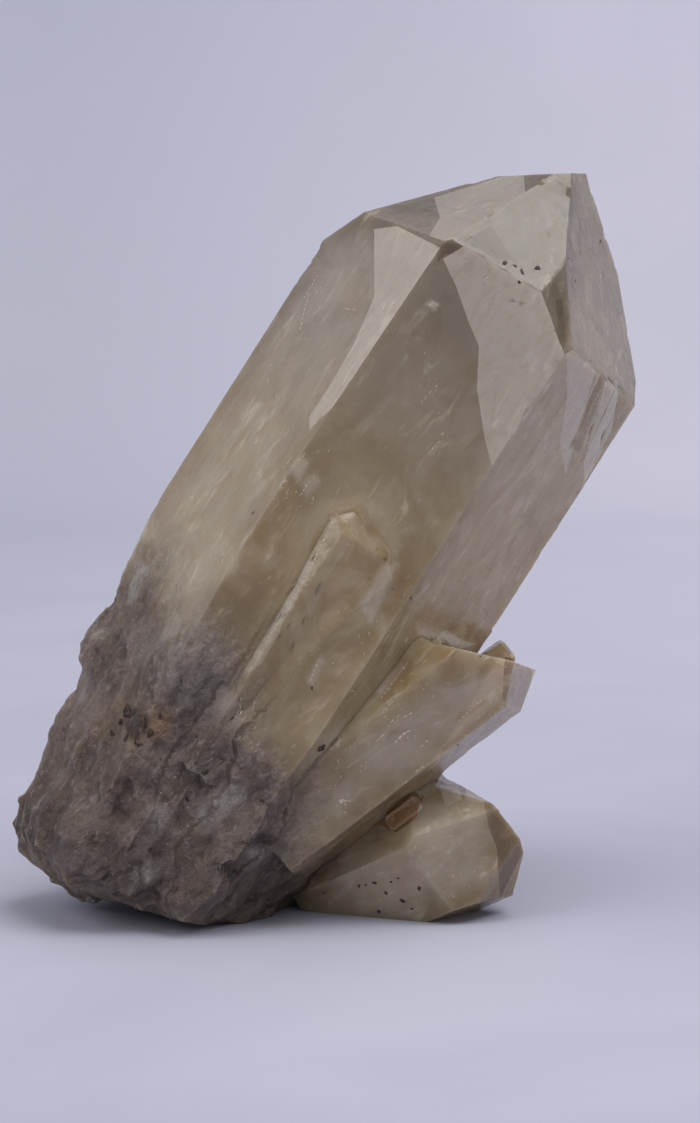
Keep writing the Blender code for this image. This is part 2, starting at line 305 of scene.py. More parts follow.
def set_values(mesh, name, values, domain="POINT"):
    """Keep values with the mesh, for the material to read."""
    kind = "FLOAT" if values.ndim == 1 else "FLOAT_VECTOR"
    field = mesh.attributes.new(name, kind, domain)
    field.data.foreach_set("value" if values.ndim == 1 else "vector",
                           values.astype(np.float32).ravel())


# How much of its light each crystal lets through; the main one's share also rises to its tip,
# by this much between these two places along it.
GLASS_SHARE = np.array((0.42, 0.36, 0.36, 0.46))
GLASS_RISE, GLASS_FROM, GLASS_TO = 0.28, -45.0, -5.0
# Which crystal a point belongs to: the one whose surface is this near.  Seams between crystals,
# where shade is painted into the creases, start and end at these distances, and the root's and
# main one's seams are fainter.
NEAR_SURFACE = 0.5
SEAM_FROM, SEAM_TO, STUB_SEAM, FAINT_SEAM = 0.1, 0.7, 0.8, 0.35
# Relief of the visible mesh in millimetres: lumps of two sizes, pits and how far the root is set
# in; then nicks, their share on the parallel crystal, growth steps, healed joins with their
# width, and how far everything is set in.
LUMPS, SMALL_LUMPS, PITS, ROOT_SET_IN = 0.34, 0.20, 0.8, 0.15
NICKS, PARALLEL_NICKS, GROWTH_STEPS = 0.28, 0.2, 0.035
HEALED, HEALED_WIDTH, SET_IN = 0.5, 1.8, 0.03
# Where the stained sliver stands in the front view.
SLIVER_OUTLINE = ((372, 822), (404, 784), (432, 786), (430, 812), (400, 842), (374, 840))
# The broken root in the front view: everything inside this outline, with a wandering edge.
ROOT_OUTLINE = ((104, 520), (150, 572), (182, 618), (236, 640), (243, 716), (286, 762), (322, 800),
                (322, 866), (296, 960), (-60, 960), (-60, 620))


def rough_share(points):
    """0 on the smooth crystal and 1 on the broken root, and the points in the front view."""
    grid = front_grid(points)
    wander = np.stack([layered(points / 7.0, seed) for seed in (11, 15)], axis=1) * 34.0
    return inside(grid + wander, ROOT_OUTLINE, 44.0), grid


def crystal(source):
    """The visible crystal: a fine copy of the solid with its relief and its marks."""
    bm = fine_copy(source, FINEST * MM)
    mesh = bpy.data.meshes.new("citrine")
    bm.to_mesh(mesh)
    points = vectors(mesh.vertices, "co") / MM
    edge = edge_distance(bm, points)
    bm.free()
    normals = vectors(mesh.vertices, "normal")
    face_normals = vectors(mesh.polygons, "normal")

    main_faces = planes(MAIN_SIDES, MAIN_SHOULDERS)
    parallel_faces = planes((PARALLEL_SIDE,) * 6, PARALLEL_SHOULDERS, PARALLEL_ROLL)
    side_faces = with_ends(planes((SIDE_SIDE,) * 6, (SIDE_SPARE,) * 6, SIDE_ROLL), SIDE_ENDS)
    stub_faces = planes((STUB_SIDE,) * 6, STUB_SHOULDERS, STUB_ROLL)
    places = (MAIN, PARALLEL, SIDE, STUB)
    shapes = (main_faces, parallel_faces, side_faces, stub_faces)
    off = np.array([heights(place, faces, points).max(axis=1)
                    for place, faces in zip(places, shapes)])
    gaps = np.abs(off[1:])
    owner = np.where(gaps.min(axis=0) < NEAR_SURFACE, gaps.argmin(axis=0) + 1, 0)
    grain = np.stack([into(place, points) for place in places])[owner, np.arange(len(points))]
    grain = grain + owner[:, None] * 37.0

    root, grid = rough_share(points)
    # Painted shade: a darker band along the creases where the crystals meet.
    seam_shade = 1.0 - ramp(SEAM_FROM, SEAM_TO, np.sort(np.abs(off[[0, 2, 3]]), axis=0)[1])
    seam_shade = seam_shade * np.where(np.abs(off[3]) < STUB_SEAM, 1.0, FAINT_SEAM)
    healed = 1.0 - ramp(0.0, HEALED_WIDTH, np.sort(np.abs(off), axis=0)[1])

    # Broken surface of the root, nicks along the edges and faint growth steps on the faces.
    flat = ramp(0.25, 1.4, points[:, 2])
    own = into(MAIN, points)
    pitted = np.maximum(layered(own / (1.0, 1.0, 1.6), 31) - 0.3, 0.0)
    lumps = (LUMPS * broken(own / (2.4, 2.4, 4.4), 40)
             + SMALL_LUMPS * broken(own / (1.2, 1.2, 1.9), 60))
    depth = root * (lumps - PITS * pitted - ROOT_SET_IN)
    worn = (1.0 - ramp(0.0, 0.35, edge)) * (1.0 - root)
    nicks = worn * ramp(0.15, 0.6, layered(grain / (1.6, 1.6, 2.6), 71)) * NICKS
    nicks = np.where(owner == 1, PARALLEL_NICKS * nicks, nicks)
    steps = (1.0 - root) * GROWTH_STEPS * layered(grain / (5.0, 5.0, 0.9), 81)
    depth = depth - nicks + steps + HEALED * healed * (1.0 - root) - SET_IN
    moved = points + normals * (depth * flat)[:, None]
    # The stained sliver lies flush in its crevice.
    proud = np.maximum(off.min(axis=0), 0.0) * inside(grid, SLIVER_OUTLINE, 3.0)
    moved[:, 1] += proud
    low, high = [np.array(corner) / MM for corner in CAD_BOX]
    moved = np.clip(moved, low, high)
    mesh.vertices.foreach_set("co", (moved * MM).ravel())

    set_values(mesh, "grain", grain / 10.0)
    set_values(mesh, "root", root)
    set_values(mesh, "seam_shade", seam_shade * (1.0 - root * 0.5))
    set_values(mesh, "edge", np.where(owner == 1, 0.0, 1.0 - ramp(0.0, 0.5, edge)))
    clear = GLASS_SHARE[0] + GLASS_RISE * ramp(GLASS_FROM, GLASS_TO, own[:, 2])
    set_values(mesh, "clear", np.where(owner == 0, clear, GLASS_SHARE[owner]))
    for name, values in marks(mesh, points, owner, face_normals).items():
        set_values(mesh, name, values, "CORNER")
    mesh.update()
    mesh.shade_smooth()
    mesh.set_sharp_from_angle(angle=SHADED_ANGLE)
    thing = bpy.data.objects.new("citrine", mesh)
    bpy.context.scene.collection.objects.link(thing)
    return thing


# Flats of the main crystal that marks may be kept to: the way each looks, in its frame.
COS, SIN = math.cos(POINT_ANGLE), math.sin(POINT_ANGLE)
FLATS = {
    "front": (0.0, -1.0, 0.0), "left": (-0.866, -0.5, 0.0), "right": (0.866, -0.5, 0.0),
    "tip": (0.0, -COS, SIN), "tip_left": (-0.866 * COS, -0.5 * COS, SIN),
    "tip_right": (0.866 * COS, -0.5 * COS, SIN),
}
MARK_KINDS = ("milk", "haze", "warm", "dark", "pale", "deep", "tan")
# A face this much alike to a flat is on it.  Marks fade out where faces turn from the front,
# and crisp ones have this softness, in steps of the front view.
ALIKE, FRONT_FADE, CRISP_SOFTNESS = 0.93, (-0.02, 0.06), 0.2
# Marks on the front side: kind, the flat it is kept to, strength, softness and outline.
# Many are painted sheens, reflections, light and shade; the others are milky flakes, stains and
# the root's patches.
MARKS = (
    # Painted reflections and sheens on the main crystal's flats, pale and dark, and painted light
    # over its left and front faces.
    ("milk", "left", 0.75, 2, ((374, 229), (397, 226), (431, 243), (445, 250), (400, 310),
                               (345, 395), (309, 430), (309, 417), (329, 386), (354, 343),
                               (374, 297))),
    ("milk", "front", 0.65, 2, ((443, 259), (474, 240), (500, 262), (548, 290), (556, 331),
                               (590, 352), (497, 484), (485, 440), (477, 389), (479, 346),
                               (469, 323), (456, 286))),
    ("milk", "front", 0.3, 20, ((480, 430), (530, 430), (500, 520), (440, 560), (450, 500))),
    ("milk", "left", 0.42, 30, ((330, 230), (440, 240), (200, 640), (100, 560), (210, 400))),
    ("milk", "front", 0.16, 30, ((440, 250), (580, 330), (450, 560), (300, 560), (300, 430))),
    ("milk", "tip", 0.15, 3, ((480, 228), (519, 204), (552, 193), (590, 196), (590, 370),
                             (552, 340), (520, 300), (507, 262))),
    ("milk", "tip", 0.1, 3, ((440, 250), (464, 241), (500, 262), (530, 280), (540, 340),
                             (480, 300))),
    ("milk", "tip_left", 0.45, 2, ((434, 197), (523, 170), (526, 196), (500, 214), (457, 244),
                                   (429, 236), (440, 217))),
    ("milk", "tip_right", 0.15, 6, ((566, 330), (600, 250), (606, 200), (640, 330), (640, 405),
                                    (608, 374))),
    ("milk", "right", 0.5, 2, ((567, 352), (597, 368), (592, 384), (578, 430), (566, 476),
                               (560, 440), (567, 400))),
    ("milk", "right", 0.7, 2, ((608, 378), (618, 392), (612, 430), (598, 460), (585, 482),
                               (584, 462), (596, 420))),
    ("dark", "right", 0.6, 2, ((602, 372), (607, 378), (592, 420), (580, 452), (574, 450),
                               (588, 404))),
    ("dark", "tip", 0.7, 2, ((463, 241), (491, 226), (514, 260), (497, 259))),
    ("dark", "tip", 0.45, 4, ((545, 186), (580, 176), (577, 206), (560, 200))),
    ("dark", "tip_left", 0.2, 5, ((377, 209), (430, 196), (440, 217), (428, 232))),
    ("dark", "tip_left", 0.4, 3, ((520, 170), (575, 170), (560, 186), (530, 200), (519, 196))),
    # Painted shade and dark painted reflections over the front.
    ("dark", "front", 0.25, 12, ((440, 262), (452, 275), (474, 340), (474, 380), (440, 350),
                                (420, 370), (398, 330))),
    ("dark", None, 0.8, 2, ((436, 246), (449, 242), (467, 247), (463, 256), (446, 254),
                            (438, 262))),
    ("dark", None, 0.6, 2, ((556, 300), (562, 298), (567, 340), (563, 352), (558, 330))),
    ("dark", None, 0.35, 26, ((180, 600), (250, 560), (330, 600), (300, 700), (250, 740),
                              (230, 660))),
    ("haze", "right", 0.85, 20, ((560, 330), (660, 330), (640, 480), (480, 700), (400, 640))),
    ("haze", None, 0.25, 10, ((320, 255), (375, 200), (380, 300), (335, 310))),
    ("haze", None, 0.4, 8, ((576, 165), (600, 190), (640, 330), (638, 412), (566, 345),
                            (572, 230))),
    ("haze", None, 0.8, 4, ((502, 652), (536, 655), (532, 705), (450, 770), (430, 770))),
    # Small marks on the side crystals: milky flakes, painted highlights and facet sheens, and the
    # parallel crystal's left side in painted shade.
    ("milk", None, 0.7, 3, ((426, 303), (433, 298), (440, 304), (433, 312))),
    ("milk", None, 0.4, 6, ((213, 542), (225, 534), (240, 546), (238, 572), (218, 578),
                            (208, 560))),
    ("milk", None, 0.15, 2, ((338, 515), (345, 511), (352, 513), (364, 525), (330, 574),
                            (309, 618), (300, 588))),
    ("milk", None, 0.35, 2, ((309, 560), (318, 566), (262, 660), (246, 678), (240, 676))),
    ("dark", None, 0.5, 2, ((334, 520), (338, 515), (240, 676), (232, 680), (270, 624))),
    ("milk", None, 0.45, 3, ((397, 561), (380, 567), (370, 587), (357, 605), (372, 625),
                             (384, 597))),
    ("milk", None, 0.4, 3, ((320, 655), (326, 660), (312, 688), (306, 680))),
    ("milk", None, 0.5, 5, ((286, 466), (300, 452), (310, 462), (300, 486))),
    ("milk", None, 0.45, 5, ((300, 480), (318, 470), (322, 482), (306, 502))),
    ("milk", None, 0.5, 2, ((436, 776), (455, 772), (462, 799), (446, 807))),
    ("milk", None, 0.4, 2, ((467, 780), (500, 795), (482, 802), (466, 800))),
    ("milk", None, 0.4, 5, ((440, 690), (478, 678), (482, 688), (444, 702))),
    ("milk", None, 0.45, 3, ((404, 661), (409, 664), (382, 698), (377, 693))),
    ("milk", None, 0.6, 2, ((440, 633), (447, 630), (462, 640), (476, 644), (452, 648))),
    ("milk", None, 0.4, 10, ((330, 790), (350, 780), (356, 800), (338, 812))),
    # Painted light over the stub crystal and its shaded lower left.
    ("milk", None, 0.38, 12, ((420, 800), (486, 800), (486, 880), (440, 906), (400, 870))),
    ("milk", None, 0.34, 14, ((330, 866), (400, 846), (440, 880), (420, 926), (330, 910))),
    ("milk", None, 0.34, 14, ((350, 760), (430, 690), (510, 670), (500, 700), (400, 780))),
    # Painted shade and dark painted reflections on the stub crystal's facets.
    ("dark", None, 0.5, 2, ((457, 776), (468, 777), (463, 799))),
    ("dark", None, 1.0, 2, ((484, 801), (520, 803), (524, 850), (500, 900), (497, 849),
                            (488, 824))),
    ("tan", None, 0.55, 2, ((532, 662), (530, 694), (520, 712), (450, 768), (436, 776),
                            (442, 749), (502, 700))),
    ("tan", None, 0.9, 2, ((505, 657), (534, 660), (530, 695), (520, 712), (502, 700))),
    ("dark", None, 0.35, 10, ((340, 760), (420, 700), (520, 660), (528, 700), (440, 750),
                              (350, 830))),
    ("warm", None, 0.8, 2, ((390, 808), (408, 792), (424, 796), (416, 818), (396, 832),
                             (378, 824))),
    ("warm", None, 0.5, 4, ((397, 572), (404, 576), (400, 600), (392, 596))),
    ("warm", None, 0.4, 4, ((366, 524), (378, 524), (378, 537), (366, 537))),
    ("warm", None, 0.45, 3, ((484, 697), (488, 702), (458, 723), (454, 719))),
    ("warm", None, 0.35, 5, ((404, 655), (414, 662), (386, 704), (378, 700))),
    ("warm", None, 0.6, 12, ((146, 716), (166, 716), (166, 734), (146, 734))),
    ("tan", None, 0.8, 5, ((134, 545), (152, 540), (156, 556), (140, 566))),
    ("pale", None, 0.7, 3, ((139, 560), (148, 566), (132, 606), (124, 602))),
    ("pale", None, 0.5, 3, ((88, 645), (92, 634), (112, 624), (110, 632))),
    ("pale", None, 0.5, 3, ((74, 705), (80, 664), (88, 662), (83, 700))),
    ("pale", None, 0.3, 10, ((153, 632), (176, 620), (192, 640), (180, 664), (158, 660))),
    ("tan", None, 0.6, 9, ((90, 708), (112, 696), (160, 702), (168, 734), (130, 752),
                           (96, 736))),
    ("deep", None, 0.9, 4, ((126, 708), (140, 706), (150, 716), (146, 734), (130, 738),
                            (122, 724))),
    ("deep", None, 0.5, 9, ((184, 694), (204, 684), (222, 694), (216, 714), (192, 714))),
    ("deep", None, 0.5, 5, ((136, 786), (182, 758), (184, 768), (146, 800))),
    ("pale", None, 0.45, 7, ((192, 812), (226, 784), (248, 784), (244, 800), (206, 832))),
    ("pale", None, 0.5, 5, ((144, 808), (160, 800), (168, 812), (160, 828), (146, 824))),
    ("pale", None, 0.45, 5, ((134, 872), (150, 864), (158, 876), (146, 886))),
    ("deep", None, 0.6, 6, ((102, 842), (116, 836), (122, 850), (106, 858))),
    ("deep", None, 0.8, 3, ((250, 838), (262, 834), (272, 842), (256, 846))),
    ("pale", None, 0.6, 4, ((248, 850), (264, 848), (266, 858), (250, 860))),
    ("deep", None, 0.7, 4, ((222, 870), (236, 864), (246, 874), (228, 882))),
    ("deep", None, 0.4, 14, ((20, 800), (60, 790), (90, 850), (60, 868), (24, 840))),
    ("tan", None, 0.8, 5, ((10, 846), (24, 850), (56, 866), (80, 886), (140, 906), (140, 922),
                           (70, 910), (20, 872))),
    ("tan", None, 0.45, 8, ((277, 860), (310, 846), (345, 846), (345, 870), (300, 888))),
    ("pale", None, 0.25, 14, ((120, 640), (200, 600), (240, 660), (230, 720), (170, 700))),
)


def marks(mesh, points, owner, looks):
    """How milky, stained and dark each corner of each face is, with painted sheens, reflections,
    light and shade.
    """
    count = len(mesh.loops)
    corners = np.empty(count, dtype=np.int32)
    mesh.loops.foreach_get("vertex_index", corners)
    face = np.repeat(np.arange(len(mesh.polygons)), 3)
    grid = front_grid(points)[corners]
    towards = -(looks @ np.array((0.0, math.cos(CAMERA_DOWN), -math.sin(CAMERA_DOWN))))
    front = ramp(*FRONT_FADE, towards)[face]
    turned = looks @ np.array(MAIN.to_3x3())
    ways = np.array(list(FLATS.values()))
    closeness = turned @ ways.T
    flat = np.where(closeness.max(axis=1) > ALIKE, closeness.argmax(axis=1), -1)[face]
    flat = np.where(owner[corners] == 0, flat, -1)
    names = list(FLATS)
    found = {kind: np.zeros(count) for kind in MARK_KINDS}
    middles = grid.reshape(-1, 3, 2).mean(axis=1)
    for kind, kept_to, strength, soft, outline in MARKS:
        if soft <= CRISP:
            value = strength * np.repeat(inside(middles, outline, CRISP_SOFTNESS), 3) * front
        else:
            value = strength * inside(grid, outline, soft) * front
        if kept_to:
            value = np.where(flat == names.index(kept_to), value, 0.0)
        found[kind] = np.maximum(found[kind], value)
    return found


# ---------------------------------------------------------------- inside and on the crystal

# Iron specks: the radius in millimetres for each unit of size, and the shape of the ones on the
# front and on the back.
SPECK_UNIT, SPECK_SHAPE, BACK_SHAPE = 0.009, (1.25, 0.85, 0.35), (1.2, 0.8, 0.45)
BACK_SPECKS = 26
# The ones on the front: where, and their size.
SPECKS = (
    (505, 263, 24), (515, 266, 20), (522, 272, 30), (537, 268, 32), (519, 282, 18),
    (253, 513, 16), (411, 598, 16), (312, 688, 18), (321, 748, 40), (458, 745, 16),
    (359, 886, 18), (375, 883, 24), (386, 893, 22), (391, 882, 16), (403, 901, 28),
    (419, 888, 26), (412, 909, 18), (379, 912, 24), (401, 920, 20), (324, 893, 16),
    (366, 885, 14), (398, 878, 14), (128, 712, 60), (142, 722, 70), (131, 731, 55),
    (150, 734, 40), (120, 722, 40), (138, 742, 45), (126, 738, 36), (112, 733, 30),
    (160, 716, 26), (205, 772, 30), (188, 800, 26), (110, 790, 30), (246, 842, 30),
    (150, 850, 26), (96, 842, 24), (236, 872, 26), (176, 890, 26), (262, 800, 22),
)
# Veils: half their thickness in millimetres, and the most that they tilt.
VEIL_HALF_THICK, VEIL_TILT = 0.03, math.radians(26.0)
# Each one inside the front: where, how deep, how long and how wide in millimetres, and its turn.
VEILS = (
    (332, 300, 1.6, 7.0, 1.1, 2), (300, 372, 1.2, 6.0, 0.9, -4), (272, 430, 1.4, 6.5, 1.2, 5),
    (348, 345, 2.2, 8.0, 1.0, 0), (318, 420, 1.8, 5.0, 1.4, 9), (246, 470, 1.3, 5.0, 0.9, -6),
    (232, 552, 1.0, 1.6, 1.5, 0), (300, 470, 2.4, 6.0, 1.6, 14),
    (520, 480, 2.0, 7.0, 1.2, 3), (600, 420, 1.2, 4.0, 0.7, 0),
    (330, 640, 1.6, 5.0, 1.2, 6), (300, 700, 1.4, 5.0, 1.4, -8), (372, 610, 1.2, 3.6, 1.6, 12),
    (262, 620, 1.6, 4.0, 1.2, 0), (205, 590, 1.3, 4.0, 1.1, 10), (430, 700, 1.4, 5.5, 1.2, -38),
    (470, 690, 1.2, 4.0, 1.0, -42), (400, 770, 1.2, 4.0, 1.2, -40), (440, 850, 1.6, 3.0, 2.0, 0),
    (480, 870, 1.5, 3.0, 1.8, 40), (420, 880, 1.4, 2.6, 1.6, -30), (360, 740, 1.6, 4.0, 1.4, -20),
)


def sampler(thing):
    """The surface of a mesh, to seat things on."""
    bm = bmesh.new()
    bm.from_mesh(thing.data)
    tree = BVHTree.FromBMesh(bm)
    bm.free()
    return tree


def seat(surface, x, y):
    """The place and the outward direction where a spot of the front view meets the surface."""
    return surface.ray_cast(CAMERA_AT, sight(x, y))[:2]


def standing(normal, along):
    """The turn that stands z on a direction, with x as near as it can be along another."""
    x = (along - normal * along.dot(normal)).normalized()
    return Matrix((x, normal.cross(x), normal)).transposed().to_4x4()


def scaled(size):
    return Matrix.Diagonal((*size, 1.0))


def upright(place, normal, turn, size):
    """A matrix that stands z on a direction, with x along the main crystal, and scales."""
    along = MAIN.to_3x3() @ Vector((0.0, 0.0, 1.0))
    return (Matrix.Translation(place) @ standing(normal, along) @ Matrix.Rotation(turn, 4, "Z")
            @ scaled(size))


def roughened(bm, verts, amount, seed):
    """Push the vertices of a unit blob in and out."""
    spots = np.array([vert.co[:] for vert in verts])
    push = 1.0 + amount * layered(spots * 1.7 + seed * 5.3, 90)
    for vert, share in zip(verts, push):
        vert.co *= share


def add_piece(bm, name, material):
    """Make a visible piece of the mesh that rides with the crystal."""
    bmesh.ops.recalc_face_normals(bm, faces=bm.faces[:])
    mesh = bpy.data.meshes.new(name)
    bm.to_mesh(mesh)
    bm.free()
    mesh.shade_smooth()
    mesh.materials.append(material)
    thing = bpy.data.objects.new(name, mesh)
    bpy.context.scene.collection.objects.link(thing)
    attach(thing, "root")


def blob(bm, matrix, amount, seed, detail):
    """Add a rough blob, made round and then placed."""
    made = bmesh.ops.create_icosphere(bm, subdivisions=detail, radius=1.0)["verts"]
    roughened(bm, made, amount, seed)
    bmesh.ops.transform(bm, matrix=matrix, verts=made)


def specks(surface):
    """Specks of iron oxide, sunk into the surface; a few more lie on the back."""
    bm = bmesh.new()
    for index, (x, y, width) in enumerate(SPECKS):
        place, normal = seat(surface, x, y)
        if place is None:
            continue
        radius = width * SPECK_UNIT * MM
        size = [radius * share for share in SPECK_SHAPE]
        blob(bm, upright(place, normal, index * 1.9, size), 1.1, index, 2)
    rng = np.random.default_rng(5)
    for index in range(BACK_SPECKS):
        start = Vector((rng.uniform(-0.03, 0.02), 0.1, rng.uniform(0.004, 0.05)))
        place, normal = surface.ray_cast(start, Vector((0.0, -1.0, 0.0)))[:2]
        if place is not None:
            radius = rng.uniform(0.1, 0.3) * MM
            size = [radius * share for share in BACK_SHAPE]
            blob(bm, upright(place, normal, index, size), 0.5, index + 60, 1)
    return bm


def veils(surface):
    """Thin healed fractures inside the crystal."""
    bm = bmesh.new()
    for index, (x, y, depth, length, width, turn) in enumerate(VEILS):
        place, normal = seat(surface, x, y)
        if place is None:
            continue
        centre = place - normal * depth * MM
        size = (length * 0.5 * MM, width * 0.5 * MM, VEIL_HALF_THICK * MM)
        tilt = Matrix.Rotation(VEIL_TILT * math.sin(index * 2.4), 4, "X")
        matrix = upright(centre, normal, math.radians(turn), (1.0, 1.0, 1.0))
        blob(bm, matrix @ tilt @ scaled(size), 0.7, index + 200, 3)
    return bm


# Fine cracks and bright glints are chains of long blobs: the radius in millimetres for each unit
# of width, how much of the front view a link covers, its half length as a share of its reach,
# and the shares of the radius that an end link keeps and that a link is tall.
LINE_UNIT, LINK, LINK_REACH, LINK_END, LINK_TALL = 0.005, 5.0, 0.62, 0.7, 0.7
# The cracks and glints on the front: how wide in hundredths of a millimetre, and the line.
CRACKS = (
    (11, ((532, 208), (529, 216), (527, 221))), (13, ((546, 249), (556, 247), (565, 256),
                                                      (569, 259))),
    (14, ((500, 290), (494, 297), (487, 311))), (10, ((487, 265), (489, 273))),
    (13, ((592, 229), (597, 245), (604, 280), (607, 325))), (11, ((540, 238), (546, 250))),
    (10, ((505, 196), (512, 204), (514, 212))), (10, ((470, 322), (462, 330), (452, 333))),
    (10, ((392, 332), (405, 336), (416, 334))), (12, ((563, 300), (566, 322), (563, 345))),
    (12, ((600, 376), (592, 398), (584, 424))), (10, ((617, 300), (621, 340), (618, 380))),
    (14, ((437, 248), (452, 243), (466, 246))), (12, ((352, 514), (362, 525), (330, 574))),
)
# The glints are painted highlights, with some small white flakes among them.
GLINTS = (
    (22, ((318, 275), (311, 286), (303, 300))), (18, ((309, 294), (304, 312), (300, 331))),
    (26, ((428, 306), (434, 302), (439, 306))), (16, ((381, 303), (384, 310))),
    (24, ((337, 803), (343, 799), (346, 806))), (16, ((222, 548), (223, 556), (222, 563))),
    (15, ((345, 308), (351, 310), (357, 309))), (13, ((428, 454), (434, 447), (440, 441))),
    (16, ((586, 420), (594, 402), (604, 384))), (13, ((578, 436), (584, 424))),
    (16, ((486, 697), (472, 708), (458, 722))), (14, ((320, 658), (315, 668), (310, 682))),
    (14, ((240, 704), (241, 716))), (14, ((250, 740), (253, 750))),
    (12, ((256, 402), (250, 414), (246, 424))), (12, ((228, 452), (220, 466))),
    (14, ((150, 548), (146, 558))), (12, ((282, 470), (292, 456))),
    (12, ((300, 496), (310, 480))), (11, ((380, 700), (396, 678), (408, 662))),
    (12, ((496, 662), (508, 668), (520, 668))), (11, ((338, 512), (300, 588), (262, 648))),
    (30, ((394, 744), (402, 735), (411, 730))), (26, ((384, 710), (394, 700))),
    (24, ((403, 718), (413, 712))), (22, ((387, 727), (393, 720))), (26, ((415, 772), (424, 766))),
    (28, ((335, 808), (343, 801), (351, 801))), (20, ((338, 813), (347, 812))),
    (18, ((376, 742), (384, 734))), (18, ((420, 748), (428, 740))), (16, ((366, 726), (372, 716))),
    (12, ((444, 640), (452, 634), (459, 641))), (12, ((516, 655), (518, 661), (530, 663))),
)


# Where tiny bright flecks lie, painted highlights and small flakes among the glints: how many, and
# the corners of the patch they are spread over.
FLECKS = (
    (26, ((372, 720), (404, 664), (440, 690), (410, 760))), (16, ((330, 760), (360, 740),
                                                                  (372, 800), (336, 812))),
    (14, ((232, 690), (256, 690), (262, 750), (240, 756))),
    (22, ((262, 380), (318, 276), (326, 300), (276, 400))),
    (20, ((270, 500), (300, 436), (330, 450), (310, 520))),
    (14, ((150, 560), (196, 500), (214, 520), (176, 580))),
    (12, ((578, 430), (600, 380), (616, 400), (590, 450))),
    (16, ((330, 660), (370, 600), (400, 620), (350, 700))),
    (14, ((430, 330), (470, 400), (440, 470), (410, 400))),
    (12, ((500, 690), (520, 670), (524, 690), (480, 730))),
    (16, ((410, 850), (470, 810), (500, 860), (440, 900))),
    (22, ((60, 720), (170, 610), (230, 800), (120, 880))),
)


def scattered():
    """Short bright lines, painted highlights and small flakes, spread over the patches, mostly
    along the main crystal.
    """
    rng = np.random.default_rng(12)
    lines = []
    for count, patch in FLECKS:
        corners = np.array(patch, float)
        for share_across, share_up in rng.random((count, 2)):
            low = corners[0] + (corners[3] - corners[0]) * share_across
            high = corners[1] + (corners[2] - corners[1]) * share_across
            spot = low + (high - low) * share_up
            turn, half = rng.normal(-1.0, 0.35), rng.uniform(0.8, 3.2)
            step = half * np.array((math.cos(turn), math.sin(turn)))
            width = rng.uniform(7.0, 14.0)
            lines.append((width, (tuple(spot - step), tuple(spot + step))))
    return lines


def strokes(surface, lines, sunk):
    """Slender lines along the surface, each a chain of long thin blobs."""
    bm = bmesh.new()
    for index, (width, line) in enumerate(lines):
        spots = [Vector(spot) for spot in line]
        places = []
        for start, end in zip(spots, spots[1:]):
            pieces = max(1, round((end - start).length / LINK))
            places += [seat(surface, *start.lerp(end, step / pieces)) for step in range(pieces)]
        places.append(seat(surface, *spots[-1]))
        places = [place for place in places if place[0] is not None]
        radius = width * LINE_UNIT * MM
        for step, (first, second) in enumerate(zip(places, places[1:])):
            reach = second[0] - first[0]
            normal = (first[1] + second[1]).normalized()
            middle = (first[0] + second[0]) / 2.0 - normal * radius * sunk
            narrowing = 1.0 if 0 < step < len(places) - 2 else LINK_END
            size = (reach.length * LINK_REACH, radius * narrowing, radius * LINK_TALL)
            matrix = Matrix.Translation(middle) @ standing(normal, reach) @ scaled(size)
            blob(bm, matrix, 0.35, index * 7 + step, 1)
    return bm


# ---------------------------------------------------------------- materials

# Quartz bends light by this much; the colour left of the light inside it, and how fast.
QUARTZ_IOR = 1.544
ABSORBED, ABSORBED_DENSITY = (0.60, 0.48, 0.32, 1.0), 45.0


